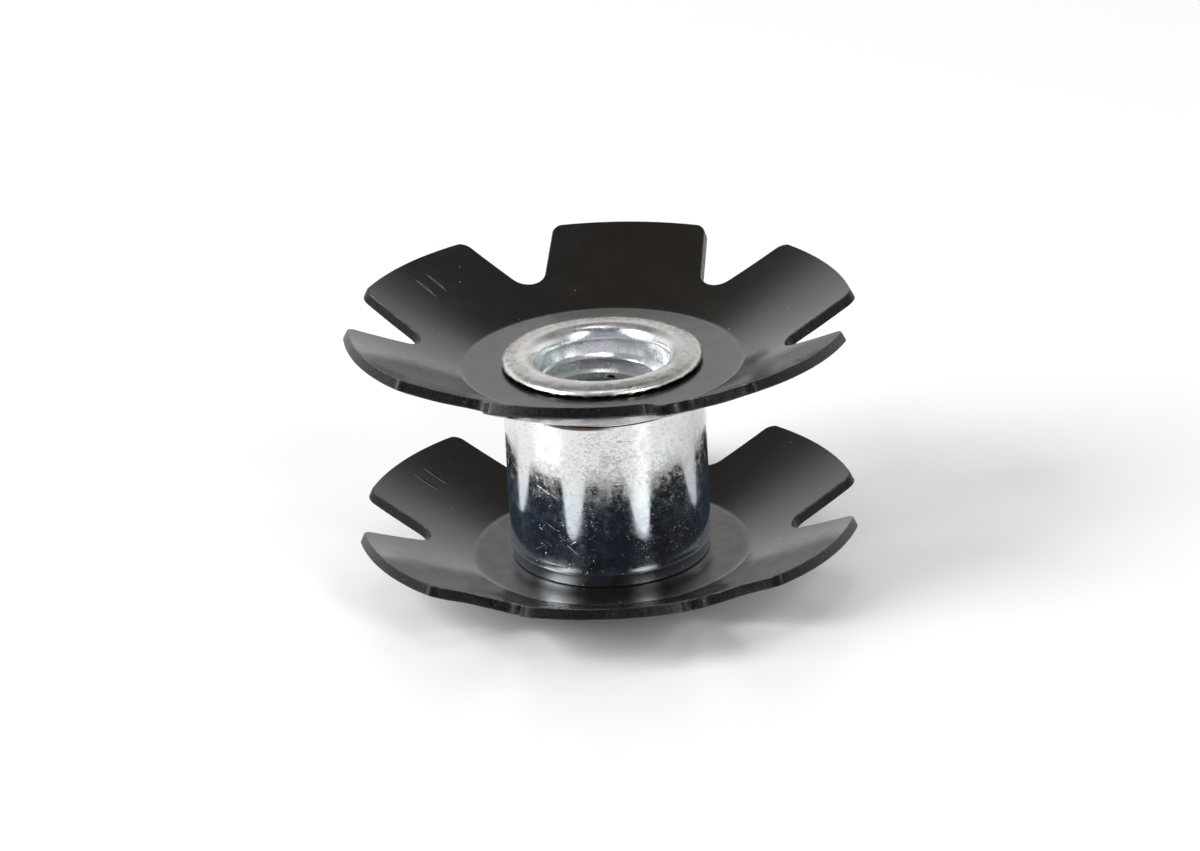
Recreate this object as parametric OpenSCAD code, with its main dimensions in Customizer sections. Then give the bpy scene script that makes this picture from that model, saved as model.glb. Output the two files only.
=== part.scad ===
// Star nut: two six-fanged spring steel stars held on a threaded steel sleeve.
// The sleeve's necks pass through the stars, and each end is flared over its star.
// Origin: centre of the lower flare's resting face. +Z runs along the bolt, towards the fang tips.

/* [Star washers] */
// Diameter over the tips of the fangs
tip_d = 23; // [21:0.1:27]
// Thickness of the spring steel sheet
sheet_t = 0.5; // [0.4:0.05:0.6]
// Diameter of the ring where the flat middle bends up into the fangs
crease_d = 12.9; // [12:0.1:14]
// Radius of that bend on its upper side
bend_r = 0.5; // [0.3:0.05:1]
// Slope at which the upper star's fangs leave the bend, in degrees
upper_slope = 24.5; // [18:0.5:30]
// Slope at which the lower star's fangs leave the bend, in degrees
lower_slope = 22; // [18:0.5:30]
// Radius of the gentle curve along each fang
fang_curve_r = 85; // [60:1:200]
// Number of fangs on each star
fang_count = 6; // [5:1:7]
// Diameter of the circle that the bottoms of the notches touch
notch_root_d = 16.8; // [15.6:0.1:17.6]
// Radius of the rounded bottom of each notch
notch_root_r = 0.92; // [0.7:0.02:1.2]
// Angle between the two sides of each notch, in degrees
notch_angle = 56; // [44:1:62]
// Radius of the fangs' rounded corners
corner_r = 0.66; // [0.3:0.02:0.9]
// Angle by which the lower star is turned against the upper one, in degrees
lower_turn = 6; // [0:0.5:30]

/* [Sleeve] */
// Distance from one star washer to the other
star_pitch = 9.33; // [8:0.01:14]
// Outer diameter of the barrel between the stars
barrel_d = 9.3; // [9:0.05:10]
// Height of the slight taper at the barrel's lower shoulder
lower_taper_h = 0.55; // [0.3:0.05:0.9]
// Height of the slight taper at the barrel's upper shoulder
upper_taper_h = 0.9; // [0.3:0.05:1.2]
// How far each taper draws in
taper_in = 0.1; // [0.05:0.01:0.15]
// Diameter of the necks that pass through the stars
neck_d = 8; // [7.6:0.05:8.4]
// Gap all round between a neck and the hole in its star
neck_gap = 0.03; // [0.02:0.01:0.1]

/* [Flared ends] */
// Diameter over the flared rim
rim_d = 9.2; // [9:0.05:9.8]
// Thickness of the rim
rim_t = 0.23; // [0.18:0.01:0.3]
// Height at which the rim's underside stands off the star
rim_lift = 0.18; // [0.1:0.01:0.24]
// Width of the ring on which the flare grips the star
grip_w = 0.15; // [0.1:0.01:0.25]
// Height of the flare's flat crown over the star
crown_h = 0.44; // [0.4:0.01:0.6]
// Diameter of the outer edge of the flat crown
crown_d = 8.3; // [8.1:0.05:8.6]
// Radius of the bell mouth from the crown into the throat
bell_r = 0.66; // [0.5:0.01:0.8]

/* [Thread] */
// Nominal diameter of the thread
thread_d = 6; // [5.8:0.1:6.2]
// Diameter over the crests of the internal thread
bore_d = 5; // [4.9:0.01:5.2]
// Gap all round between the nominal thread and the throat
throat_gap = 0.04; // [0:0.01:0.1]
// Height of the lead-in cone from the throat to the thread crests
lead_in_h = 0.38; // [0.25:0.01:0.6]

/* [Hidden] */
$fn = 180;
// Facets of the large circle that curves the fangs
curve_facets = 1440;
// Half the depth of the notch cutters, measured square to the sheet
cut_reach = 2;
// Angle cut away beyond the fangs' tips, seen from the centre of their long curve
past_tip = 10;

tip_r = tip_d / 2;
root_r = notch_root_d / 2;
crease_r = crease_d / 2;
bore_r = bore_d / 2;
throat_r = thread_d / 2 + throat_gap;
neck_r = neck_d / 2;
hole_r = neck_r + neck_gap;
barrel_r = barrel_d / 2;

// Levels along the axis, from the resting face upwards
lower_under = crown_h;
lower_face = lower_under + sheet_t;
upper_face = lower_face + star_pitch;
upper_under = upper_face - sheet_t;

// Corners and centres in the section of a flared end, as radius and height over its star
rim_r = rim_t / 2;
rim = [rim_d / 2 - rim_r, rim_lift + rim_r];
bell = [throat_r + bell_r, crown_h - bell_r];
grip = [neck_r + grip_w, 0];
crown = [crown_d / 2, crown_h];

// Directions of the lines from the grip and from the crown that just touch the rim's circle
under = atan2(rim[1] - grip[1], rim[0] - grip[0]) - asin(rim_r / norm(rim - grip));
over = atan2(rim[1] - crown[1], rim[0] - crown[0]) + asin(rim_r / norm(rim - crown));

// Where those two lines meet, outside the rim
rim_corner = rim + rim_r / sin((under - over) / 2) * [cos((under + over) / 2), sin((under + over) / 2)];

// A point at radius r and angle a from straight down, round the centre c
function below(c, r, a) = c + r * [sin(a), -cos(a)];

// Centre of the bend: its arc is tangent to the flat middle and to the fang
function bend_centre(slope) = [crease_r - bend_r * tan(slope / 2), bend_r];

// Centre of the fang's long curve: it carries on from the end of the bend
function fang_centre(slope) = below(bend_centre(slope), bend_r - fang_curve_r, slope);

// Slope of the fang's upper face at radius r from the axis
function slope_at(slope, r) = asin((r - fang_centre(slope)[0]) / fang_curve_r);

// Wedge with its point at the origin, from angle a0 to angle a1, counted from straight down
module wedge(reach, a0, a1) {
    polygon([[0, 0], for (s = [0, 1 / 3, 2 / 3, 1]) below([0, 0], reach, a0 + s * (a1 - a0))]);
}

// Sector of a disc, from angle a0 to angle a1, counted from straight down
module sector(centre, r, a0, a1, facets = $fn) {
    translate(centre)
        intersection() {
            circle(r = r, $fn = facets);
            wedge(2 * r, a0, a1);
        }
}

// Section of a star washer: a block of sheet, from which is cut what lies over the flat
// middle, inside the bend, inside the fang's curve, beyond the tip and outside the bend
module dish_profile(slope) {
    bend = bend_centre(slope);
    fang = fang_centre(slope);
    tip_slope = slope_at(slope, tip_r);
    outer_r = bend_r + sheet_t;
    difference() {
        intersection() {
            translate([hole_r, -sheet_t])
                square([tip_r, tip_r / 2]);
            translate(fang)
                circle(r = fang_curve_r + sheet_t, $fn = curve_facets);
        }
        square([bend[0], tip_r]);
        sector(bend, bend_r, 0, slope);
        sector(fang, fang_curve_r, slope, tip_slope + past_tip, curve_facets);
        translate(fang)
            wedge(2 * fang_curve_r, tip_slope, tip_slope + past_tip);
        difference() {
            translate(bend)
                wedge(2 * outer_r, 0, slope);
            translate(bend)
                circle(r = outer_r);
        }
    }
}

// Outline of one notch in the plane of the sheet, with x running outwards from mid_r
// on the star: a rounded root, straight sides, and a mouth that rounds the fangs' corners
module notch_outline(mid_r, tilt) {
    half = notch_angle / 2;
    squeeze = cos(tilt);
    root_x = (root_r - mid_r) / squeeze + notch_root_r;
    // The corner circle touches the notch's side when its centre is on y = rise * x + start
    rise = tan(half);
    start = (notch_root_r + corner_r) / cos(half) - root_x * rise;
    a = squeeze * squeeze + rise * rise;
    b = 2 * (mid_r * squeeze + rise * start);
    // Where that line is at the distance reach from the axis
    function along(reach) =
        (-b + sqrt(b * b - 4 * a * (mid_r * mid_r + start * start - reach * reach))) / (2 * a);
    // The sheet rises out of the cutter's plane towards the corner, by the sag of its ring
    flat_x = along(tip_r - corner_r * squeeze);
    flat_r = mid_r + flat_x * squeeze;
    sag = norm([flat_r, rise * flat_x + start]) - flat_r;
    x = along(tip_r - corner_r * squeeze + sag * sin(tilt) * sin(tilt));
    corner = [x, rise * x + start];
    out = [squeeze * (mid_r + x * squeeze), corner[1]];
    outwards = out / norm(out);
    side = [
        [root_x - notch_root_r * sin(half), notch_root_r * cos(half)],
        corner + corner_r * [sin(half), -cos(half)],
        corner,
        corner + corner_r * outwards,
        corner + (corner_r + cut_reach) * outwards
    ];
    last = len(side) - 1;
    translate([root_x, 0])
        circle(r = notch_root_r);
    difference() {
        polygon([for (p = side) p, for (i = [last : -1 : 0]) [side[i][0], -side[i][1]]]);
        for (y = [corner[1], -corner[1]])
            translate([corner[0], y])
                circle(r = corner_r);
    }
}

// Cutter for one notch, square to the fangs' sheet half way up the notch
module notch_cutter(slope) {
    mid_r = (root_r + tip_r) / 2;
    tilt = slope_at(slope, mid_r);
    centre = fang_centre(slope);
    translate([mid_r, 0, below(centre, fang_curve_r, tilt)[1]])
        rotate([0, -tilt, 0])
            translate([0, 0, -cut_reach])
                linear_extrude(2 * cut_reach)
                    notch_outline(mid_r, tilt);
}

// A star washer with the upper face of its flat middle at z = 0 and a notch on +X
module star(slope) {
    difference() {
        rotate_extrude()
            dish_profile(slope);
        for (i = [0 : fang_count - 1])
            rotate([0, 0, i * 360 / fang_count])
                notch_cutter(slope);
    }
}

module upper_star() {
    color([0.13, 0.13, 0.14])
        translate([0, 0, upper_face])
            star(upper_slope);
}

module lower_star() {
    color([0.13, 0.13, 0.14])
        translate([0, 0, lower_face])
            rotate([0, 0, lower_turn])
                star(lower_slope);
}

// Outline of one end of the sleeve, from the thread round the flare to the shoulder,
// with its corners still sharp
end_outline = [
    [bore_r, bell[1] - lead_in_h],
    [throat_r, bell[1]],
    [throat_r, crown_h],
    crown,
    rim_corner,
    grip,
    [neck_r, 0],
    [neck_r, -sheet_t]
];

// Outline of the barrel, slightly tapered at both shoulders
barrel_outline = [
    [barrel_r - taper_in, upper_under],
    [barrel_r, upper_under - upper_taper_h],
    [barrel_r, lower_face + lower_taper_h],
    [barrel_r - taper_in, lower_face]
];

// What is cut from the sharp corners of one end to round its bell mouth and its rim
module end_rounding() {
    difference() {
        translate(bell - [2 * bell_r, 0])
            square(2 * bell_r);
        translate(bell)
            circle(r = bell_r);
    }
    difference() {
        translate(rim)
            wedge(2 * norm(rim_corner - rim), under, over + 180);
        translate(rim)
            circle(r = rim_r);
    }
}

module threaded_sleeve() {
    last = len(end_outline) - 1;
    upper_end = [for (p = end_outline) [p[0], upper_face + p[1]]];
    lower_end = [for (i = [last : -1 : 0]) [end_outline[i][0], lower_under - end_outline[i][1]]];
    color([0.78, 0.8, 0.82])
        rotate_extrude()
            difference() {
                polygon(concat(upper_end, barrel_outline, lower_end));
                translate([0, upper_face])
                    end_rounding();
                translate([0, lower_under])
                    mirror([0, 1])
                        end_rounding();
            }
}

upper_star();
lower_star();
threaded_sleeve();
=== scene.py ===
# %% [markdown]
# # A star nut
# Two dished spring steel stars grip the inside of a tube, and a threaded steel sleeve holds them
# apart. The solids of the part are loaded first as a fixed frame. Then each piece is modelled
# again with the fine edges, thread, dents and finish that the plain solids leave out.

# %% Load the frame
import math

import bmesh
import bpy
from mathutils import Matrix, Vector, noise


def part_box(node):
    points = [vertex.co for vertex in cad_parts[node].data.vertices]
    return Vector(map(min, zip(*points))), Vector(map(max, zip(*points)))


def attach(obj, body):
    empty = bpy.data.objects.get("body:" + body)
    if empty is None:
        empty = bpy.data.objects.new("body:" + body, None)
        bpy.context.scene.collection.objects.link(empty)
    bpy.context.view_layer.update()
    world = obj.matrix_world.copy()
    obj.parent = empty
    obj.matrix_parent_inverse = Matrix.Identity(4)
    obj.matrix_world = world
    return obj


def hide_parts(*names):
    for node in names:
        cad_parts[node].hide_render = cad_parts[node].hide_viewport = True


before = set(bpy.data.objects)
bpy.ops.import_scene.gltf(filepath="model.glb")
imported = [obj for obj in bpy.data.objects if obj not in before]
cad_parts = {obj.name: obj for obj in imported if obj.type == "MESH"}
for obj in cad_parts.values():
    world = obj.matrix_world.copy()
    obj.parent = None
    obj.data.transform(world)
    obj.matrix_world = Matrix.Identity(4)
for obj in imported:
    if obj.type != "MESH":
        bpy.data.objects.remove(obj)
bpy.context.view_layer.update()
mm = 0.001
print("frame:", sorted(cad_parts))

# %% [markdown]
# ## Sizes
# A star nut is made to a few sizes that have to agree: the sheet's thickness, the bend where the
# fangs start, the circle of their tips and the sleeve's diameters. The levels of the two stars
# are read from the frame, so the new pieces sit exactly where the solids sit. The circle of the
# tips is a hair smaller than on the solids, because finer facets reach a little further out.

# %% Sizes
turn = 2 * math.pi
sheet_t = 0.5 * mm
lower_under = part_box("lower_star")[0].z
upper_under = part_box("upper_star")[0].z
lower_face = lower_under + sheet_t
upper_face = upper_under + sheet_t
sleeve_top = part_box("threaded_sleeve")[1].z

hole_r = 4.03 * mm
crease_r = 6.45 * mm
tip_r = 11.495 * mm
bend_r = 0.5 * mm
fang_curve_r = 85 * mm
upper_slope = math.radians(24.5)
lower_slope = math.radians(22)
fang_count = 6
lower_turn = math.radians(6)

notch_root_r = 8.4 * mm
notch_round = 0.92 * mm
notch_half = math.radians(28)
corner_r = 0.66 * mm
print("stars at", round(lower_face / mm, 3), "and", round(upper_face / mm, 3), "mm")

# %% [markdown]
# ## Picking a piece
# Blender's tools work on what is selected, and a script has no mouse to click with. So two small
# helpers leave edit mode, drop the old selection and pick one piece.

# %% Picking a piece
def deselect_all():
    """Leaves edit mode and deselects every object."""
    if bpy.context.object and bpy.context.object.mode != "OBJECT":
        bpy.ops.object.mode_set(mode="OBJECT")
    bpy.ops.object.select_all(action="DESELECT")


def pick(piece):
    """Makes piece the one selected and active object."""
    deselect_all()
    piece.select_set(True)
    bpy.context.view_layer.objects.active = piece


# %% [markdown]
# ## Materials from nodes
# A material is a tree of small nodes that are linked together. It could be drawn by hand in the
# shader editor. Here a class adds the nodes, with one short method for each kind, so a whole
# finish reads like a few sums. A mask is a value from 0 to 1 that says where something applies.

# %% Node trees
class Nodes:
    """A node tree under construction, with short ways to add and link nodes."""

    def __init__(self, tree, coordinate):
        self.tree = tree
        self.place = self.node("ShaderNodeTexCoord").outputs[coordinate]

    def node(self, kind, **values):
        made = self.tree.nodes.new(kind)
        for key, value in values.items():
            setattr(made, key, value)
        return made

    def link(self, source, target):
        self.tree.links.new(source, target)

    def feed(self, socket, value):
        """Links a socket to another one, or sets it to a plain value."""
        if isinstance(value, bpy.types.NodeSocket):
            self.link(value, socket)
        else:
            socket.default_value = value

    def split(self, vector):
        """The X, Y and Z of a vector, as three sockets."""
        made = self.node("ShaderNodeSeparateXYZ")
        self.link(vector, made.inputs[0])
        return made.outputs

    def ramp(self, value, low, high, to_low=0.0, to_high=1.0):
        """Maps low..high to to_low..to_high and stops at both."""
        made = self.node("ShaderNodeMapRange", interpolation_type="SMOOTHSTEP")
        self.feed(made.inputs["Value"], value)
        made.inputs["From Min"].default_value = low
        made.inputs["From Max"].default_value = high
        made.inputs["To Min"].default_value = to_low
        made.inputs["To Max"].default_value = to_high
        return made.outputs["Result"]

    def math(self, operation, a, b=0.0):
        made = self.node("ShaderNodeMath", operation=operation)
        self.feed(made.inputs[0], a)
        self.feed(made.inputs[1], b)
        return made.outputs[0]

    def times(self, first, *others):
        """Multiplies masks with each other."""
        for other in others:
            first = self.math("MULTIPLY", first, other)
        return first

    def plus(self, first, *others):
        """Adds values to each other."""
        for other in others:
            first = self.math("ADD", first, other)
        return first

    def mix(self, amount, a, b):
        """Mixes two colours."""
        made = self.node("ShaderNodeMix", data_type="RGBA")
        self.feed(made.inputs["Factor"], amount)
        self.feed(made.inputs["A"], a)
        self.feed(made.inputs["B"], b)
        return made.outputs["Result"]


print("node helpers:", [name for name in vars(Nodes) if not name.startswith("_")])

# %% [markdown]
# ## Places on a piece
# The real pieces are round, so rings and zones follow from the distance to the axis and the
# height. A stain or a scratch is one ellipse. Both could be painted on an unwrapped image, but
# then each new size of the piece would need new painting.

# %% Places on a piece
class Places(Nodes):
    """A node tree with masks and vectors for places on a round piece."""

    def radius(self):
        """Distance from the Z axis and height, as two sockets."""
        x, y, z = self.split(self.place)
        return self.math("SQRT", self.plus(self.times(x, x), self.times(y, y))), z

    def flat_vector(self, x):
        """A vector with only an X, for textures that vary one way."""
        made = self.node("ShaderNodeCombineXYZ")
        self.link(x, made.inputs["X"])
        return made.outputs[0]

    def unrolled(self, radius):
        """The surface of a cylinder laid flat: X runs round it from the front, Y is height."""
        x, y, z = self.split(self.place)
        angle = self.math("ARCTAN2", x, self.times(y, -1.0))
        made = self.node("ShaderNodeCombineXYZ")
        self.link(self.times(angle, radius), made.inputs["X"])
        self.link(z, made.inputs["Y"])
        return made.outputs[0]

    def mark(self, centre, halves, angle=0.0, soft=0.5, on=None):
        """A mask for one elliptic mark of half sizes halves, turned by angle."""
        mapping = self.node("ShaderNodeMapping", vector_type="TEXTURE")
        self.link(on or self.place, mapping.inputs["Vector"])
        mapping.inputs["Location"].default_value = centre
        mapping.inputs["Rotation"].default_value = (0, 0, angle)
        mapping.inputs["Scale"].default_value = halves
        length = self.node("ShaderNodeVectorMath", operation="LENGTH")
        self.link(mapping.outputs[0], length.inputs[0])
        return self.ramp(length.outputs["Value"], 1 - soft, 1, 1, 0)


print("place helpers:", [name for name in vars(Places) if not name.startswith("_")])

# %% [markdown]
# ## Textures
# Wear is never even, so most masks start from noise, and dust and pits from scattered dots. Both
# use object coordinates in metres, so they have real sizes and stay where they are on the metal.
# What is too fine to model, such as the rings of the lathe, becomes a bump.

# %% Textures
class Finish(Places):
    """A material under construction."""

    def __init__(self, name):
        self.material = bpy.data.materials.new(name)
        self.material.use_nodes = True
        super().__init__(self.material.node_tree, "Object")
        self.shader = self.tree.nodes["Principled BSDF"]

    def set(self, name, value):
        """Links an input of the shader, or sets it to a plain value."""
        self.feed(self.shader.inputs[name], value)

    def noise(self, size, detail=3, stretch=(1, 1, 1), rough=0.5, shift=(0, 0, 0), on=None):
        """Noise whose features are about size across, in metres."""
        mapping = self.node("ShaderNodeMapping")
        self.link(on or self.place, mapping.inputs["Vector"])
        mapping.inputs["Location"].default_value = shift
        mapping.inputs["Scale"].default_value = [s / size for s in stretch]
        made = self.node("ShaderNodeTexNoise")
        self.link(mapping.outputs[0], made.inputs["Vector"])
        made.inputs["Scale"].default_value = 1
        made.inputs["Detail"].default_value = detail
        made.inputs["Roughness"].default_value = rough
        return made.outputs["Fac"]

    def dots(self, spacing, size):
        """Round dots of one size, scattered about a spacing apart, as a mask."""
        made = self.node("ShaderNodeTexVoronoi")
        self.link(self.place, made.inputs["Vector"])
        made.inputs["Scale"].default_value = 1 / spacing
        return self.ramp(made.outputs["Distance"], size / spacing / 2, size / spacing, 1, 0)

    def bump(self, height, depth, under=None):
        """Bump from a 0 to 1 height that stands for depth in metres."""
        made = self.node("ShaderNodeBump")
        made.inputs["Strength"].default_value = 1
        made.inputs["Distance"].default_value = depth
        self.feed(made.inputs["Height"], height)
        if under:
            self.link(under, made.inputs["Normal"])
        return made.outputs["Normal"]


print("texture helpers:", [name for name in vars(Finish) if not name.startswith("_")])

# %% [markdown]
# ## Black faces of the stars
# Spring steel is blackened and lightly lacquered, so it is nearly black but glossy, and what
# shows on it is mostly reflections. The sheet isn't perfectly even: long waves bend the
# reflections, fine grain dulls them, and brownish rubs and specks of dust lie on it. A thin
# paler ring along the bend is a painted highlight, and the lower disc's shine is lowered in
# front of the sleeve as painted shade. A painted image could hold all of that, but noise in
# real sizes stays sharp from close by and follows the dish without a seam.

# %% Black faces
black, rubbed_brown = (0.0052, 0.003, 0.0012, 1), (0.0115, 0.008, 0.0055, 1)
# The paler grey for the bend is a painted highlight; the other grey is dust.
crease_highlight_grey, dust_grey = (0.03, 0.03, 0.033, 1), (0.2, 0.19, 0.175, 1)
stroke_out, stroke_gap = 10 * mm, 0.8 * mm


def press_strokes(finish):
    """A mask for two short pressed strokes on one fang of each star."""
    strokes = 0.0
    for angle, z in ((math.radians(150), upper_face + 1.6 * mm),
                     (math.radians(156), lower_face + 1.5 * mm)):
        for sideways in (-stroke_gap / 2, stroke_gap / 2):
            x = stroke_out * math.cos(angle) - sideways * math.sin(angle)
            y = stroke_out * math.sin(angle) + sideways * math.cos(angle)
            stroke = finish.mark((x, y, z), (0.75 * mm, 0.08 * mm, 2 * mm), angle=angle, soft=0.8)
            strokes = finish.math("MAXIMUM", stroke, strokes)
    return strokes


def black_faces():
    finish = Finish("blackened_steel")
    radius, z = finish.radius()
    rubs = finish.ramp(finish.noise(2.2 * mm, 5, rough=0.6), 0.5, 0.8)
    # Painted highlight: a thin paler ring along the bend of the dish.
    crease_highlight = finish.times(finish.ramp(radius, crease_r - 0.2 * mm, crease_r - 0.06 * mm),
                          finish.ramp(radius, crease_r - 0.02 * mm, crease_r + 0.1 * mm, 1, 0),
                          finish.ramp(finish.noise(0.4 * mm, 4, rough=0.7), 0.35, 0.65, 0.2, 1))
    dust = finish.times(finish.dots(0.9 * mm, 0.06 * mm),
                        finish.ramp(finish.noise(1.7 * mm, 2), 0.48, 0.56))
    colour = finish.mix(rubs, black, rubbed_brown)
    colour = finish.mix(crease_highlight, colour, crease_highlight_grey)
    finish.set("Base Color", finish.mix(dust, colour, dust_grey))

    grain = finish.noise(0.7 * mm, 4, rough=0.65)
    ring = finish.times(finish.ramp(radius, crease_r - 0.4 * mm, crease_r + 0.2 * mm, 0.16, 0),
                        finish.ramp(z, lower_face, upper_under, 1, 0.3))
    finish.set("Roughness", finish.plus(finish.ramp(grain, 0.3, 0.7, 0.11, 0.19), ring))
    # Painted shade: the shine is lowered on the lower disc in front of the sleeve, where it
    # mirrors the dark barrel.
    painted_dim_reflection = finish.mark((1.1 * mm, -5.4 * mm, lower_face), (4.5 * mm, 2 * mm, 2 * mm),
                       angle=math.radians(8.5), soft=0.6)
    finish.set("Specular IOR Level", finish.ramp(painted_dim_reflection, 0, 1, 0.5, 0.2))
    finish.set("IOR", 1.55)

    waves = finish.bump(finish.noise(3.5 * mm, 1), 0.012 * mm)
    rings = finish.noise(0.12 * mm, 1, stretch=(1, 0, 0), on=finish.flat_vector(radius))
    turned = finish.bump(rings, 0.0006 * mm, under=waves)
    pressed = finish.bump(press_strokes(finish), -0.03 * mm, under=turned)
    fine = finish.bump(finish.noise(0.09 * mm, 2), 0.0008 * mm, under=pressed)
    finish.set("Normal", fine)
    return finish.material


faces_finish = black_faces()
print("faces:", faces_finish.name, "with", len(faces_finish.node_tree.nodes), "nodes")

# %% [markdown]
# ## Walls and edges of the stars
# The punch has sheared the walls of the notches: they are dark, with upright tear marks and a few
# torn spots of bare steel. The bevelled edges are rubbed through to brown. The faces'
# finish could do for both, but then the stars would have no outline against a dark ground.

# %% Walls and edges
wall_black, wall_brown = (0.0025, 0.0023, 0.0021, 1), (0.007, 0.006, 0.005, 1)
bare_steel = (0.2, 0.185, 0.17, 1)
edge_black, edge_brown = (0.012, 0.011, 0.01, 1), (0.11, 0.085, 0.062, 1)


def blanked_walls():
    finish = Finish("blanked_wall")
    torn = finish.noise(0.13 * mm, 4, stretch=(1, 1, 0.25), rough=0.7)
    patch = finish.ramp(finish.noise(0.8 * mm, 3), 0.45, 0.65)
    colour = finish.mix(patch, wall_black, wall_brown)
    torn_spots = finish.times(finish.ramp(finish.noise(0.09 * mm, 2), 0.64, 0.72),
                              finish.ramp(finish.noise(1.1 * mm, 2, shift=(3, 1, 2)), 0.52, 0.66))
    finish.set("Base Color", finish.mix(torn_spots, colour, bare_steel))
    finish.set("Metallic", finish.ramp(torn_spots, 0, 1, 0, 0.8))
    finish.set("Roughness", finish.ramp(torn, 0.3, 0.7, 0.22, 0.42))
    finish.set("Normal", finish.bump(torn, 0.01 * mm))
    finish.set("Specular IOR Level", 0.3)
    return finish.material


def rubbed_edges():
    finish = Finish("rubbed_edge")
    worn = finish.ramp(finish.noise(0.7 * mm, 4, rough=0.7), 0.42, 0.62)
    finish.set("Base Color", finish.mix(worn, edge_black, edge_brown))
    finish.set("Metallic", finish.ramp(worn, 0, 1, 0, 0.6))
    finish.set("Roughness", 0.3)
    finish.set("Normal", finish.bump(finish.noise(0.12 * mm, 3), 0.006 * mm))
    return finish.material


star_finishes = [faces_finish, blanked_walls(), rubbed_edges()]
# Places of the walls' and the edges' finish in that list
walls, edges = 1, 2
print("star finishes:", [m.name for m in star_finishes])

# %% [markdown]
# ## A star's section
# Each star is a flat washer whose outer part is pressed up into a dish. Seen in section, the flat
# middle goes over into a tight bend, and the bend into the fangs' long, gentle curve. Each curve
# starts in the direction in which the last one ends, so their centres follow from the slope.

# %% Section of a star
def below(centre, radius, angle):
    """The point at that radius and angle from straight down, round a centre in a section."""
    return (centre[0] + radius * math.sin(angle), centre[1] - radius * math.cos(angle))


def bend_centre(slope):
    return (crease_r - bend_r * math.tan(slope / 2), bend_r)


def fang_centre(slope):
    return below(bend_centre(slope), bend_r - fang_curve_r, slope)


def slope_at(slope, radius):
    """Slope of the fang's upper face at that distance from the axis."""
    return math.asin((radius - fang_centre(slope)[0]) / fang_curve_r)


def tip_height(slope):
    """Height of the tips' upper face over the flat middle."""
    return below(fang_centre(slope), fang_curve_r, slope_at(slope, tip_r))[1]


print("tips rise", [round(tip_height(s) / mm, 2) for s in (upper_slope, lower_slope)],
      "mm over the flat middles")

# %% [markdown]
# ## Spinning the dish
# The dish could be pulled from a flat disc with proportional editing, but a press gives an exact
# bend. So the flat middle starts as a thin upright rectangle, whose outer edge is spun round the
# centre of the bend, and then round the far centre of the fangs. Only the outline of that strip
# is kept, and it is spun once round the axis.

# %% Dish
bend_steps, fang_steps, dish_steps = 7, 14, 180


def select_where(piece, test):
    """Selects the vertices whose place passes the test, and what lies between them."""
    bpy.ops.mesh.select_mode(type="VERT")
    bpy.ops.mesh.select_all(action="DESELECT")
    mesh = bmesh.from_edit_mesh(piece.data)
    for v in mesh.verts:
        v.select = test(v.co)
    mesh.select_flush(True)
    bmesh.update_edit_mesh(piece.data)


def spin_round(steps):
    """Spins what is selected once round the Z axis and closes the seam."""
    bpy.ops.mesh.spin(steps=steps, angle=turn, center=(0, 0, 0), axis=(0, 0, 1))
    bpy.ops.mesh.select_all(action="SELECT")
    bpy.ops.mesh.remove_doubles(threshold=0.001 * mm)
    bpy.ops.mesh.normals_make_consistent(inside=False)


def dish(name, slope):
    bend, fang = bend_centre(slope), fang_centre(slope)
    flat_w = bend[0] - hole_r
    deselect_all()
    bpy.ops.mesh.primitive_plane_add(size=1, location=(0, 0, 0), rotation=(turn / 4, 0, 0))
    star = bpy.context.object
    star.name = name
    bpy.ops.object.transform_apply(rotation=True)
    bpy.ops.object.mode_set(mode="EDIT")
    bpy.ops.transform.resize(value=(flat_w, 1, sheet_t))
    bpy.ops.transform.translate(value=(hole_r + flat_w / 2, 0, -sheet_t / 2))
    select_where(star, lambda p: p.x > hole_r + flat_w / 2)
    rise = slope_at(slope, tip_r) - slope
    sideways = (0, 1, 0)
    bpy.ops.mesh.spin(steps=bend_steps, angle=slope, center=(bend[0], 0, bend[1]), axis=sideways)
    bpy.ops.mesh.spin(steps=fang_steps, angle=rise, center=(fang[0], 0, fang[1]), axis=sideways)
    bpy.ops.mesh.select_all(action="SELECT")
    bpy.ops.mesh.select_mode(type="EDGE")
    bpy.ops.mesh.region_to_loop()
    bpy.ops.mesh.select_all(action="INVERT")
    bpy.ops.mesh.delete(type="EDGE")
    bpy.ops.mesh.select_all(action="SELECT")
    spin_round(dish_steps)
    bpy.ops.object.mode_set(mode="OBJECT")
    return star


print("a dish has", bend_steps, "steps in its bend and", fang_steps, "along its fangs")

# %% [markdown]
# ## Outline of a notch
# A punch cuts six notches square to the sheet: each has a round root, straight sides and a mouth
# that rounds the corners of the fangs. The corners could be bevelled afterwards, but the punch
# makes them in one stroke, so the outline has arcs that touch the straight sides. The mouth
# reaches a little past the tips, because the bevel takes some of the corners away again.

# %% Outline of a notch
mouth_past_tip = 0.035 * mm
cut_reach = 2 * mm
arc_steps = 10


def arc(centre, radius, start, end, steps):
    """Points along an arc, from angle start to angle end."""
    angles = [start + (end - start) * i / steps for i in range(steps + 1)]
    return [(centre[0] + radius * math.cos(a), centre[1] + radius * math.sin(a)) for a in angles]


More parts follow.
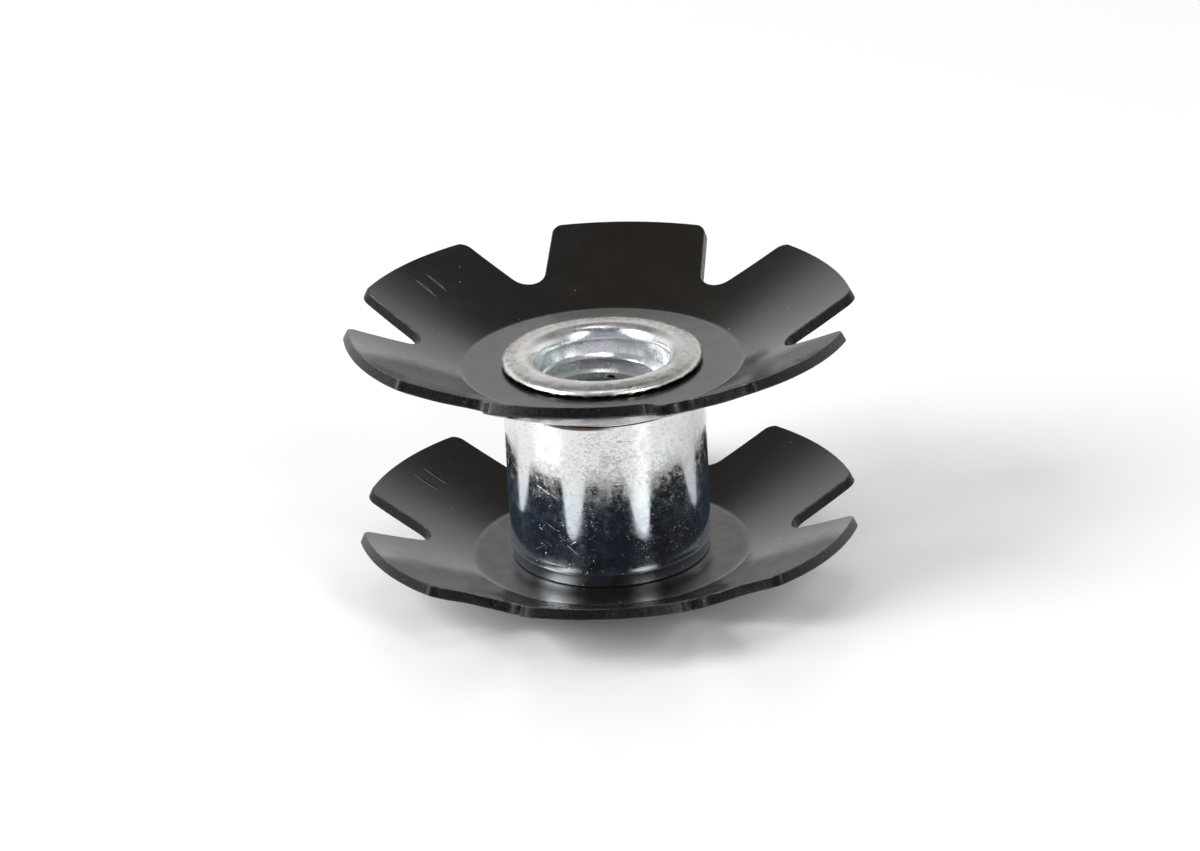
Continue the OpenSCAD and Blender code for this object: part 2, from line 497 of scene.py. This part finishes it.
def notch_side(mid_r, tilt):
    """One side of a notch in the sheet's own plane, with x running outwards from mid_r."""
    squeeze = math.cos(tilt)
    rise = math.tan(notch_half)
    root_x = (notch_root_r - mid_r) / squeeze + notch_round
    start = (notch_round + corner_r) / math.cos(notch_half) - root_x * rise
    a = squeeze * squeeze + rise * rise
    b = 2 * (mid_r * squeeze + rise * start)

    def along(reach):
        """Where the line of the corner's centres is at that distance from the axis."""
        c = mid_r * mid_r + start * start - reach * reach
        return (-b + math.sqrt(b * b - 4 * a * c)) / (2 * a)

    reach = tip_r + mouth_past_tip - corner_r * squeeze
    flat_x = along(reach)
    flat_r = mid_r + flat_x * squeeze
    sag = math.hypot(flat_r, rise * flat_x + start) - flat_r
    x = along(reach + sag * math.sin(tilt) ** 2)
    corner = Vector((x, rise * x + start))
    out = Vector((squeeze * (mid_r + x * squeeze), corner.y)).normalized()
    root = arc((root_x, 0), notch_round, turn / 2, turn / 4 + notch_half, arc_steps)
    mouth = arc(corner, corner_r, notch_half - turn / 4, math.atan2(out.y, out.x), arc_steps)
    return root + mouth + [tuple(corner + (corner_r + cut_reach) * out)]


notch_mid_r = (notch_root_r + tip_r) / 2
print("a notch has", len(notch_side(notch_mid_r, upper_slope)), "points on each side")

# %% [markdown]
# ## Drawing an outline
# The notch and the turned and tapped forms further on all start as a line. It could be a curve
# with handles, but here every point matters. So one vertex is extruded again and again, from
# point to point, and then the two ends are joined.

# %% Drawing an outline
def trace(name, points):
    """Draws a line through the points and leaves the new object in edit mode."""
    deselect_all()
    bpy.ops.mesh.primitive_plane_add(size=mm, location=(0, 0, 0))
    piece = bpy.context.object
    piece.name = name
    bpy.ops.object.mode_set(mode="EDIT")
    bpy.ops.mesh.select_mode(type="VERT")
    bpy.ops.mesh.merge(type="CENTER")
    bpy.ops.mesh.select_all(action="SELECT")
    bpy.ops.transform.translate(value=points[0])
    for here, there in zip(points, points[1:]):
        step = Vector(there) - Vector(here)
        bpy.ops.mesh.extrude_region_move(TRANSFORM_OT_translate={"value": step})
    return piece


def close_line():
    """Joins the two ends of the line in edit mode and selects all of it."""
    bpy.ops.mesh.select_all(action="SELECT")
    mesh = bmesh.from_edit_mesh(bpy.context.object.data)
    for v in mesh.verts:
        v.select = len(v.link_edges) == 1
    mesh.select_flush(False)
    bpy.ops.mesh.edge_face_add()
    bpy.ops.mesh.select_all(action="SELECT")


print("an outline is drawn with", trace.__name__, "and", close_line.__name__)

# %% [markdown]
# ## The punch
# The closed line is filled, extruded to a solid and laid square to the sheet, half way up the
# notch. An upright cutter would be simpler, but it would leave slanting walls on the slope.

# %% Notch cutter
def notch_cutter(slope, angle):
    tilt = slope_at(slope, notch_mid_r)
    side = notch_side(notch_mid_r, tilt)
    outline = side + [(x, -y) for x, y in reversed(side[1:])]
    cutter = trace("notch_cutter", [(x, y, -cut_reach) for x, y in outline])
    close_line()
    bpy.ops.mesh.edge_face_add()
    bpy.ops.mesh.extrude_region_move(TRANSFORM_OT_translate={"value": (0, 0, 2 * cut_reach)})
    bpy.ops.mesh.select_all(action="SELECT")
    bpy.ops.mesh.normals_make_consistent(inside=False)
    bpy.ops.object.mode_set(mode="OBJECT")
    cutter.data.materials.append(star_finishes[walls])
    z = below(fang_centre(slope), fang_curve_r, tilt)[1]
    place = Matrix.Translation((notch_mid_r, 0, z)) @ Matrix.Rotation(-tilt, 4, "Y")
    cutter.matrix_world = Matrix.Rotation(angle, 4, "Z") @ place
    return cutter


print("the punch leans by", [round(math.degrees(slope_at(s, notch_mid_r)), 1)
                             for s in (upper_slope, lower_slope)], "degrees")

# %% [markdown]
# ## Cutting one solid from another
# A Boolean modifier does what the punch and the tap do. The cut walls take over the cutter's own
# finish, so that the walls of the notches get the torn look of blanked steel.

# %% Cutting one solid from another
def finish_modifier(piece, kind, **settings):
    """Adds a modifier, sets it and applies it."""
    modifier = piece.modifiers.new(kind.lower(), kind)
    for key, value in settings.items():
        setattr(modifier, key, value)
    pick(piece)
    bpy.ops.object.modifier_apply(modifier=modifier.name)


def subtract(piece, cutter):
    """Cuts a closed solid from a piece and throws the cutter away."""
    finish_modifier(piece, "BOOLEAN", operation="DIFFERENCE", solver="EXACT",
                    object=cutter, material_mode="TRANSFER")
    bpy.data.objects.remove(cutter)


# %% [markdown]
# ## The two stars
# After the notches are cut, every sharp edge gets a narrow bevel, because no pressed edge is
# razor sharp and it is the edges that catch the light. Hardened normals keep the broad faces
# shading as they did before. The bevel's faces take the rubbed edge finish. Vertices that the
# cuts have left very close together are welded first, because they would spoil the bevel.

# %% Stars
edge_r = 0.045 * mm
sharp = math.radians(40)
weld = 0.02 * mm


def report(piece):
    """Prints how many triangles a piece has."""
    piece.data.calc_loop_triangles()
    print(piece.name, "has", len(piece.data.loop_triangles), "triangles")


def make_star(name, slope, face_z, angle):
    star = dish(name, slope)
    for finish in star_finishes:
        star.data.materials.append(finish)
    for k in range(fang_count):
        subtract(star, notch_cutter(slope, turn * k / fang_count))
    for face in star.data.polygons:
        if math.hypot(face.center.x, face.center.y) > tip_r - 0.01 * mm:
            face.material_index = walls
    pick(star)
    bpy.ops.object.mode_set(mode="EDIT")
    bpy.ops.mesh.select_all(action="SELECT")
    bpy.ops.mesh.remove_doubles(threshold=weld)
    bpy.ops.object.mode_set(mode="OBJECT")
    bpy.ops.object.shade_smooth_by_angle(angle=sharp)
    finish_modifier(star, "BEVEL", width=edge_r, segments=2, limit_method="ANGLE",
                    angle_limit=sharp, use_clamp_overlap=False,
                    harden_normals=True, material=edges)
    star.matrix_world = Matrix.Translation((0, 0, face_z)) @ Matrix.Rotation(angle, 4, "Z")
    pick(star)
    bpy.ops.object.transform_apply(location=True, rotation=True, scale=True)
    report(star)
    return star


upper_star = make_star("upper_star_sheet", upper_slope, upper_face, 0)
lower_star = make_star("lower_star_sheet", lower_slope, lower_face, lower_turn)

# %% [markdown]
# ## Pressed notches
# On the real nut the sheet isn't quite even at the two front notches, probably from the press.
# Sculpting could do that, but not twice alike. So the sheet is pushed up or down there vertex by
# vertex, by less and less the further away a vertex lies.

# %% Pressed notches
press_reach = 2.4 * mm
front_notches = (4, 5)
upper_press, lower_press = -0.08 * mm, 0.17 * mm


def press(piece, angle, depth):
    """Pushes the sheet down a little round the root of the notch at that angle."""
    centre = Vector((notch_root_r * math.cos(angle), notch_root_r * math.sin(angle)))
    for v in piece.data.vertices:
        near = 1 - min(1, (v.co.xy - centre).length / press_reach) ** 2
        v.co.z -= depth * near * near


for k in front_notches:
    press(upper_star, turn * k / fang_count, upper_press)
    press(lower_star, turn * k / fang_count + lower_turn, lower_press)
print("notches pressed on each star:", len(front_notches))

# %% [markdown]
# ## Sizes of the sleeve
# The real sleeve is turned on a lathe, so all its sizes are radii and heights: the barrel keeps
# the stars apart, the thinner necks pass through their holes, and the ends are flared. They
# come before its finish, because the finish puts its stains and scratches at the same places.

# %% Sizes of the sleeve
barrel_r = 4.65 * mm
neck_r = 4 * mm
bore_r = 2.5 * mm
throat_r = 3.04 * mm
bell_r = 0.66 * mm
crown_h = 0.44 * mm
grip_w = 0.15 * mm
band_z = upper_under - 0.89 * mm
print("the sleeve's band starts at", round(band_z / mm, 2), "mm")

# %% [markdown]
# ## Zones of the sleeve
# The zinc looks different in the bore, on the flared ends and along the barrel. The zones could
# be separate materials, but then they would meet in sharp borders. Soft masks from the distance
# to the axis and the height let one finish go over into the next.

# %% Zones of the sleeve
halves_meet = (4.6 * mm, 6.4 * mm)


class Zinc(Finish):
    """The sleeve's finish, with a mask for each of its zones."""

    def __init__(self):
        super().__init__("zinc_plated_steel")
        self.out, self.z = self.radius()
        self.wall = self.unrolled(barrel_r)
        middle_z, half_length = (upper_face + lower_under) / 2, (upper_face - lower_under) / 2
        from_middle = self.math("ABSOLUTE", self.math("SUBTRACT", self.z, middle_z))
        self.flare = self.times(
            self.ramp(from_middle, half_length - 0.3 * mm, half_length - 0.15 * mm),
            self.ramp(self.out, throat_r + 0.02 * mm, throat_r + 0.3 * mm))
        self.bore = self.ramp(self.out, throat_r, throat_r + 0.3 * mm, 1, 0)
        self.barrel = self.ramp(self.out, barrel_r - 0.2 * mm, barrel_r - 0.12 * mm)
        self.upper_half = self.ramp(self.z, *halves_meet)
        self.lower_half = self.times(self.ramp(self.upper_half, 0, 1, 1, 0), self.barrel)
        self.under_band = self.ramp(self.z, band_z - 0.1 * mm, band_z, 1, 0)
        self.worn_patch = self.mark((0.6 * mm, 7.2 * mm, 0), (2.3 * mm, 2.4 * mm, 1),
                                    on=self.wall, soft=0.8)


zinc = Zinc()
print("the barrel's halves meet between", [round(z / mm, 1) for z in halves_meet], "mm")

# %% [markdown]
# ## Colours of the zinc
# Fresh zinc is silvery. This piece has grey smears on the barrel's upper half and brownish
# stains on the flared ends, along fine rings, and its thread has a faint pink and green tint.
# One flat colour would look new and lifeless, so all of these are mixed over each other, from
# the metal outwards.

# %% Colours of the zinc
lower_tint, silver = (0.7, 0.745, 0.775, 1), (0.78, 0.79, 0.77, 1)
smear_grey = (0.34, 0.34, 0.31, 1)
flare_grey, stain_brown = (0.6, 0.6, 0.595, 1), (0.37, 0.335, 0.285, 1)
# The second grey on the next line is painted shade for the crown's right side.
lip_bright, painted_shade_grey = (0.74, 0.74, 0.71, 1), (0.4, 0.39, 0.365, 1)
bath_pink, bath_green = (0.78, 0.76, 0.81, 1), (0.72, 0.77, 0.74, 1)
scorched, chipped = (0.1, 0.07, 0.054, 1), (0.03, 0.022, 0.018, 1)


def barrel_colour():
    """Silver above and a bluer tint below, with grey smears under the band."""
    smears = zinc.ramp(zinc.noise(0.2 * mm, 6, stretch=(1, 1, 1.6), rough=0.85), 0.49, 0.62)
    smears = zinc.times(smears, zinc.upper_half, zinc.under_band,
                        zinc.ramp(zinc.worn_patch, 0, 1, 0.4, 1), 0.85)
    return zinc.mix(smears, zinc.mix(zinc.upper_half, lower_tint, silver), smear_grey)


def flare_colour():
    """Stained crown with a bright lip, less stained in front as painted light, and painted shade
    on its right side.
    """
    blotch = zinc.ramp(zinc.noise(0.3 * mm, 6, rough=0.85), 0.4, 0.6)
    traces = zinc.noise(0.07 * mm, 2, stretch=(1, 0, 0), on=zinc.flat_vector(zinc.out))
    blotch = zinc.math("MAXIMUM", blotch, zinc.ramp(traces, 0.45, 0.7, 0, 0.7))
    crown = zinc.ramp(zinc.out, 3.6 * mm, 4 * mm)
    lip = zinc.ramp(zinc.out, 4.38 * mm, 4.5 * mm)
    # Painted light: less stain towards the front left, which makes the crown lighter there.
    painted_light_front_left = zinc.mark((-1.8 * mm, -3.6 * mm, sleeve_top), (3.2 * mm, 1.8 * mm, 2 * mm), soft=0.8)
    # Painted shade: the crown's right side is mixed towards a darker grey.
    side = zinc.mark((4 * mm, -0.4 * mm, sleeve_top), (1.3 * mm, 3 * mm, 2 * mm), soft=0.8)
    stained = zinc.times(blotch, crown, zinc.ramp(painted_light_front_left, 0, 1, 1, 0.25))
    colour = zinc.mix(stained, flare_grey, stain_brown)
    colour = zinc.mix(lip, colour, lip_bright)
    return zinc.mix(zinc.times(side, zinc.ramp(blotch, 0, 1, 0.35, 0.85)), colour, painted_shade_grey)


def bore_colour():
    """The faint tints of the thread."""
    return zinc.mix(zinc.ramp(zinc.noise(1.6 * mm, 1), 0.35, 0.65), bath_pink, bath_green)


def with_damage(colour):
    """Adds the brown line under the band and the chip in the thread."""
    line = zinc.mark((-0.7 * mm, band_z - 0.04 * mm, 0), (2.1 * mm, 0.16 * mm, 1), on=zinc.wall)
    line = zinc.times(line, zinc.ramp(zinc.out, barrel_r - 0.2 * mm, barrel_r - 0.1 * mm),
                      zinc.ramp(zinc.noise(0.3 * mm, 4, rough=0.7), 0.3, 0.42))
    chip = zinc.mark((0, 2.6 * mm, 8.42 * mm), (0.24 * mm, 0.5 * mm, 0.11 * mm), soft=0.3)
    return zinc.mix(chip, zinc.mix(line, colour, scorched), chipped)


plating = zinc.mix(zinc.flare, barrel_colour(), flare_colour())
plating = with_damage(zinc.mix(zinc.bore, plating, bore_colour()))
print("the plating's colour takes", len(zinc.tree.nodes), "nodes")

# %% [markdown]
# ## Pits, specks and scratches
# Small pits lie all over the barrel, most of them in its worn patch. Pale specks crowd in a few
# clusters, and a handful of scratches run across. Pits and specks are scattered by noise, because
# nobody could place each one. The scratches are placed one by one on the unrolled barrel, where
# x runs round it from the front and y is the height.

# %% Pits, specks and scratches
# Middle and half size of each cluster of specks, in mm
clusters = ((2.2, 3.0, 0.6), (1.9, 4.8, 0.3), (-1.5, 3.3, 0.45), (-0.4, 4.7, 0.6))
# Middle and half length of each scratch, in mm, and its angle in degrees
scratches = ((-2.45, 5.5, 0.9, -22), (-2.25, 3.8, 0.5, -26), (-1.1, 2.75, 0.45, -40),
             (-1.0, 3.2, 0.35, 35), (0.9, 7.1, 0.6, 12), (1.6, 8.1, 0.45, -8),
             (3.0, 6.6, 0.5, 20))
scratch_half_w = 0.024 * mm
speck_grey = (0.33, 0.38, 0.46, 1)


def barrel_pits():
    pitted = zinc.ramp(zinc.noise(1.1 * mm, 4, rough=0.7), 0.47, 0.66)
    pitted = zinc.math("MAXIMUM", pitted, zinc.worn_patch)
    return zinc.times(zinc.dots(0.16 * mm, 0.035 * mm), pitted, zinc.barrel)


def barrel_specks():
    loose = zinc.times(zinc.dots(0.18 * mm, 0.026 * mm), zinc.ramp(
        zinc.noise(0.8 * mm, 3, shift=(1, 4, 2)), 0.44, 0.6))
    crowd = 0.0
    for x, y, size in clusters:
        cluster = zinc.mark((x * mm, y * mm, 0), (size * mm, 0.7 * size * mm, 1), on=zinc.wall)
        crowd = zinc.math("MAXIMUM", cluster, crowd)
    crowd = zinc.times(zinc.dots(0.13 * mm, 0.038 * mm), crowd)
    return zinc.times(zinc.math("MAXIMUM", loose, crowd), zinc.barrel)


def barrel_scratches():
    lines = 0.0
    for x, y, half, angle in scratches:
        line = zinc.mark((x * mm, y * mm, 0), (half * mm, scratch_half_w, 1),
                         angle=math.radians(angle), on=zinc.wall, soft=0.7)
        lines = zinc.math("MAXIMUM", line, lines)
    broken = zinc.ramp(zinc.noise(0.2 * mm, 2), 0.36, 0.5)
    return zinc.times(lines, broken, zinc.barrel)


pits, specks, scratched = barrel_pits(), barrel_specks(), barrel_scratches()
print("scratches:", len(scratches), "and clusters of specks:", len(clusters))

# %% [markdown]
# ## Shine of the zinc
# Zinc plating is a metal, so it mirrors its surroundings with a low roughness. It is cloudy in
# the bore, rougher where it is scuffed, scratched or flared, and has a thin blue bloom on the
# barrel's lower half, which sheen gives without dulling the mirror. The finest forms are bumps:
# the rings of the lathe, a rough skin, the pits and the scratches.

# %% Shine of the zinc
bloom_blue = (0.15, 0.45, 1, 1)


def zinc_metal():
    """How metallic it is: less in the cloudy bore and hardly at all on the specks."""
    cloudy = zinc.plus(zinc.times(zinc.bore, 0.2), zinc.times(zinc.lower_half, 0.005))
    return zinc.math("SUBTRACT", zinc.ramp(specks, 0, 1, 1, 0.2), cloudy)


def zinc_bloom():
    """The patchy blue bloom of the lower half, which fades towards the lower star."""
    patchy = zinc.ramp(zinc.noise(0.5 * mm, 4, shift=(4, 1, 6), rough=0.7),
                       0.35, 0.65, 0.025, 0.09)
    fade = zinc.ramp(zinc.z, lower_face, lower_face + mm, 0.3, 1)
    return zinc.times(patchy, zinc.lower_half, fade)


def zinc_roughness():
    grain = zinc.ramp(zinc.noise(0.3 * mm, 5, stretch=(1, 1, 0.6), rough=0.75),
                      0.35, 0.75, 0.08, 0.18)
    clouds = zinc.ramp(zinc.noise(0.9 * mm, 3, shift=(2, 5, 1), rough=0.7), 0.42, 0.62, 0, 0.1)
    scuffs = zinc.ramp(zinc.noise(0.5 * mm, 4, shift=(5, 2, 7), rough=0.7), 0.45, 0.62, 0, 0.16)
    scuffs = zinc.times(zinc.upper_half, zinc.under_band, zinc.barrel, scuffs)
    return zinc.plus(grain, clouds, scuffs, zinc.times(scratched, 0.3),
                     zinc.times(zinc.flare, 0.17), zinc.times(zinc.bore, 0.06))


def zinc_bumps():
    rings = zinc.bump(zinc.noise(0.2 * mm, 2, stretch=(0.02, 0.02, 1)), 0.0015 * mm)
    lathe = zinc.noise(0.16 * mm, 1, on=zinc.flat_vector(zinc.out))
    turned = zinc.bump(zinc.times(lathe, zinc.flare), 0.008 * mm, under=rings)
    where = zinc.math("MAXIMUM", zinc.flare, zinc.times(zinc.upper_half, zinc.barrel, 0.35))
    skin = zinc.times(zinc.noise(0.1 * mm, 3, rough=0.6), where)
    rough = zinc.bump(skin, 0.006 * mm, under=turned)
    flaws = zinc.math("MAXIMUM", pits, zinc.times(scratched, 0.6))
    return zinc.bump(flaws, -0.014 * mm, under=rough)


zinc.set("Base Color", zinc.mix(specks, plating, speck_grey))
zinc.set("Metallic", zinc_metal())
zinc.set("Roughness", zinc_roughness())
zinc.set("Normal", zinc_bumps())
zinc.set("Sheen Weight", zinc_bloom())
zinc.set("Sheen Roughness", 0.8)
zinc.set("Sheen Tint", bloom_blue)
print("sleeve finish:", zinc.material.name, "with", len(zinc.tree.nodes), "nodes")

# %% [markdown]
# ## The sleeve
# The sleeve is turned: barrel, two shoulders and two thin necks. Its necks go through the stars
# and are flared outwards over them. A primitive cylinder with insets could give the barrel, but
# not the flare. So its section is drawn once, from the bore round the upper flare, down the
# barrel and round the lower flare, and spun. The lip isn't a true arc, so its dome has a few
# points of its own.

# %% Section of the sleeve
# Points of the lip in mm, as radius and height over the star: from the flat crown over the dome
# and in under the hanging rim
lip_points = ((3.92, 0.44), (4.1, 0.434), (4.25, 0.418), (4.38, 0.388), (4.48, 0.342),
              (4.55, 0.28), (4.58, 0.21), (4.56, 0.155), (4.51, 0.125), (4.42, 0.11))
shoulder_r = 0.08 * mm
draw_in = 0.07 * mm
bead = 0.03 * mm
foot_z = lower_face + 0.55 * mm
bell_steps, shoulder_steps, sleeve_steps = 12, 4, 240


def flare_section():
    """Outline of a flared end as radius and height over its star, from the bore outwards."""
    lead_in = [(bore_r, -1.2 * mm), (2.74 * mm, -0.93 * mm), (2.93 * mm, -0.81 * mm),
               (throat_r, -0.35 * mm)]
    bell = (throat_r + bell_r, crown_h - bell_r)
    mouth = arc(bell, bell_r, turn / 2, turn / 4, bell_steps)
    lip = [(r * mm, h * mm) for r, h in lip_points]
    grip = [(neck_r + grip_w, 0), (neck_r, 0), (neck_r, -sheet_t)]
    return lead_in + mouth + lip + grip


def barrel_section():
    """Outline of the barrel, from the upper shoulder down to the lower one."""
    top_r = barrel_r - draw_in
    upper_corner = (top_r - shoulder_r, upper_under - shoulder_r)
    lower_corner = (top_r - shoulder_r, lower_face + shoulder_r)
    upper = arc(upper_corner, shoulder_r, turn / 4, 0, shoulder_steps)
    lower = arc(lower_corner, shoulder_r, 0, -turn / 4, shoulder_steps)
    band = [
        (top_r, upper_under - shoulder_r - 0.03 * mm),
        (top_r + 0.005 * mm, band_z + 0.06 * mm),
        (top_r + 0.01 * mm, band_z + 0.03 * mm),
        (barrel_r - 0.01 * mm, band_z),
        (barrel_r, band_z - 0.04 * mm),
        (barrel_r, band_z - 0.15 * mm),
    ]
    foot = [
        (barrel_r, foot_z + 0.4 * mm),
        (barrel_r, foot_z + 0.3 * mm),
        (barrel_r + bead * 0.7, foot_z + 0.2 * mm),
        (barrel_r + bead, foot_z + 0.1 * mm),
        (barrel_r, foot_z),
        (barrel_r - 0.05 * mm, foot_z - 0.1 * mm),
    ]
    return upper + band + foot + lower


def turned_sleeve():
    flare = flare_section()
    upper = [(r, upper_face + h) for r, h in flare]
    lower = [(r, lower_under - h) for r, h in reversed(flare)]
    outline = upper + barrel_section() + lower
    sleeve = trace("sleeve_body", [(r, 0, z) for r, z in outline])
    close_line()
    spin_round(sleeve_steps)
    bpy.ops.object.mode_set(mode="OBJECT")
    sleeve.data.materials.append(zinc.material)
    return sleeve


sleeve = turned_sleeve()
print("a flared end has", len(flare_section()), "points, the barrel", len(barrel_section()))

# %% [markdown]
# ## The thread
# The bore is tapped M6 by 1. Rings would look almost the same, but they wouldn't lead a bolt in.
# So the tap is built like the real one: the section of one thread is drawn, a Screw modifier
# winds it up the axis with 1 mm of rise a turn, and the two ends are cut flat with bisect.
# Subtracting it from the sleeve leaves the internal thread. It stops short of both ends, because
# the flaring has widened them past the thread.

# %% Tapped thread
pitch = 1 * mm
flank = math.radians(30)
root_half = 0.0625 * mm
far_wall = turn / 4
crest_drop = 0.77 * mm
widened_h = 0.85 * mm
overrun = 1.5 * mm
turn_steps = 96


def tap():
    """A solid tap, whose ridge leaves a crest crest_drop below the upper star on the far wall."""
    core_r = bore_r - 0.1 * mm
    half = root_half + (throat_r - core_r) * math.tan(flank)
    turns = int((sleeve_top + 2 * overrun) / pitch) + 1
    lift = upper_face - crest_drop - pitch / 2 - pitch * far_wall / turn
    base = (lift + overrun) % pitch - overrun
    section = [(core_r, 0, base - half), (throat_r, 0, base - root_half),
               (throat_r, 0, base + root_half), (core_r, 0, base + half),
               (core_r, 0, base + pitch - half)]
    made = trace("tap", section)
    bpy.ops.object.mode_set(mode="OBJECT")
    finish_modifier(made, "SCREW", axis="Z", angle=turn, screw_offset=pitch, iterations=turns,
                    steps=turn_steps, render_steps=turn_steps, use_merge_vertices=True,
                    merge_threshold=0.001 * mm)
    pick(made)
    bpy.ops.object.mode_set(mode="EDIT")
    for z, side in ((lower_under + widened_h, -1), (upper_face - widened_h, 1)):
        bpy.ops.mesh.select_all(action="SELECT")
        bpy.ops.mesh.bisect(plane_co=(0, 0, z), plane_no=(0, 0, side), use_fill=True,
                            clear_outer=True, threshold=0.0001 * mm)
    bpy.ops.mesh.select_all(action="SELECT")
    bpy.ops.mesh.remove_doubles(threshold=0.0005 * mm)
    bpy.ops.mesh.normals_make_consistent(inside=False)
    bpy.ops.object.mode_set(mode="OBJECT")
    return made


subtract(sleeve, tap())
report(sleeve)

# %% [markdown]
# ## Wear of the upper flare
# The upper flare isn't even: its lip droops towards the front, where it is also a little ragged.
# Proportional editing could pull it down by hand. Moving each vertex by a formula gives the same
# soft change all round, and noise makes the raggedness.

# %% Wear of the upper flare
lip_start, lip_w = 3.9 * mm, 0.5 * mm
back_lift, front_droop, ragged_droop = 0.025 * mm, 0.05 * mm, 0.09 * mm
spread_all, spread_ragged = 0.006, 0.012
lowest_angle = 0.15
rag_size = 0.35 * mm


def wear_rim(piece):
    """Lets the upper flare droop towards the front and makes its lip uneven."""
    for v in piece.data.vertices:
        r = math.hypot(v.co.x, v.co.y)
        if v.co.z > upper_face + 0.02 * mm and r > lip_start:
            front = (1 + math.cos(math.atan2(v.co.x, -v.co.y) - lowest_angle)) / 2
            lip_share = min(1, (r - lip_start) / lip_w)
            ragged = max(0, noise.noise(v.co / rag_size))
            droop = front ** 3 * (front_droop + ragged_droop * ragged)
            v.co.z += lip_share * (back_lift * (1 - front) - droop)
            spread = 1 + lip_share * (spread_all + spread_ragged * ragged * front)
            v.co.x *= spread
            v.co.y *= spread


wear_rim(sleeve)
pick(sleeve)
bpy.ops.object.shade_smooth_by_angle(angle=math.radians(30))
print("the sleeve's top is now at", round(max(v.co.z for v in sleeve.data.vertices) / mm, 3), "mm")

# %% [markdown]
# ## Put the pieces in place of the plain solids
# Each new piece replaces its solid and rides on the one body.

# %% Replace the solids
for piece, node, slot in ((upper_star, "upper_star", "blackened_steel"),
                          (lower_star, "lower_star", "blackened_steel"),
                          (sleeve, "threaded_sleeve", "zinc_plated_steel")):
    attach(piece, "root")
    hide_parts(node)
    print(piece.name, "replaces", node)

# %% [markdown]
# ## Floor
# The part stands on a sheet of plain white card, as in a product studio. A wide flat disc does
# for it. It glows very slightly for the camera and in reflections, so that it reads as white
# rather than grey, but its glow doesn't light the part.

# %% Floor
card_white, card_glow = (0.92, 0.92, 0.92, 1), 0.07
deselect_all()
bpy.ops.mesh.primitive_circle_add(vertices=64, radius=1.2, fill_type="NGON", location=(0, 0, 0))
floor = bpy.context.object
floor.name = "studio_floor"
card = Finish("white_floor")
paths = card.node("ShaderNodeLightPath")
seen = card.math("MAXIMUM", paths.outputs["Is Camera Ray"], paths.outputs["Is Glossy Ray"])
card.set("Base Color", card_white)
card.set("Roughness", 0.35)
card.set("Emission Color", (1, 1, 1, 1))
card.set("Emission Strength", card.times(seen, card_glow))
floor.data.materials.append(card.material)
print("floor:", floor.name)

# %% [markdown]
# ## Light
# In a product studio, shiny metal is lit with white all round, so that it has something to
# mirror. The sky here is white behind the part and darker overhead and in front, where the
# camera stands, which keeps the black stars black. Two soft boxes stand in front, left and
# right: they draw the bright bands on the barrel. A third one looks down into the bore.

# %% Light
white, cool_white = (1, 1, 1, 1), (0.75, 0.93, 1.2, 1)
world = bpy.data.worlds.new("studio")
bpy.context.scene.world = world
world.use_nodes = True
sky = Nodes(world.node_tree, "Generated")
depth, height = sky.split(sky.place)[1:]
overhead = sky.ramp(height, 0.42, 0.74, 1.0, 0.22)
behind = sky.ramp(depth, -0.5, 0.5, 0.28, 1.18)
in_front = sky.ramp(depth, -0.4, 0.2, 1, 0)
background = sky.tree.nodes["Background"]
sky.link(sky.mix(in_front, white, cool_white), background.inputs["Color"])
sky.link(sky.times(overhead, behind), background.inputs["Strength"])


def soft_box(name, place, width, height, power):
    """A lamp of that width and height in metres and power in watts, aimed at the part."""
    bpy.ops.object.light_add(type="AREA", location=place)
    lamp = bpy.context.object
    lamp.name = name
    lamp.data.shape = "RECTANGLE"
    lamp.data.size = width
    lamp.data.size_y = height
    lamp.data.energy = power
    lamp.rotation_euler = (-Vector(place)).to_track_quat("-Z", "Y").to_euler()


soft_box("left_box", (-0.33, -0.18, 0.26), width=0.22, height=0.28, power=2.0)
soft_box("right_box", (0.275, -0.25, 0.26), width=0.11, height=0.28, power=0.7)
soft_box("top_box", (0.012, -0.01, 0.45), width=0.2, height=0.08, power=0.2)

# %% [markdown]
# ## Camera
# The camera stands in front, a little to the right, and looks down on the part through a long
# lens. It is also rolled a little. A Track To constraint could aim it, but not roll it. So it is
# placed by three angles, its distance and the point it looks at.

# %% Camera
to_the_right = math.radians(8.541)
down = math.radians(22.916)
roll = math.radians(-2.95)
away = 199.077 * mm
looks_at = Vector((-0.628, 2.457, 5.968)) * mm
camera = bpy.data.objects.new("camera", bpy.data.cameras.new("camera"))
bpy.context.scene.collection.objects.link(camera)
camera.data.lens = 128.16
camera.data.clip_start = 0.01
aim = (Matrix.Rotation(to_the_right, 4, "Z") @ Matrix.Rotation(turn / 4 - down, 4, "X")
       @ Matrix.Rotation(roll, 4, "Z"))
camera.matrix_world = Matrix.Translation(looks_at) @ aim @ Matrix.Translation((0, 0, away))
bpy.context.scene.camera = camera
bpy.context.scene.view_settings.view_transform = "Standard"
print("camera at", [round(c, 4) for c in camera.matrix_world.translation])
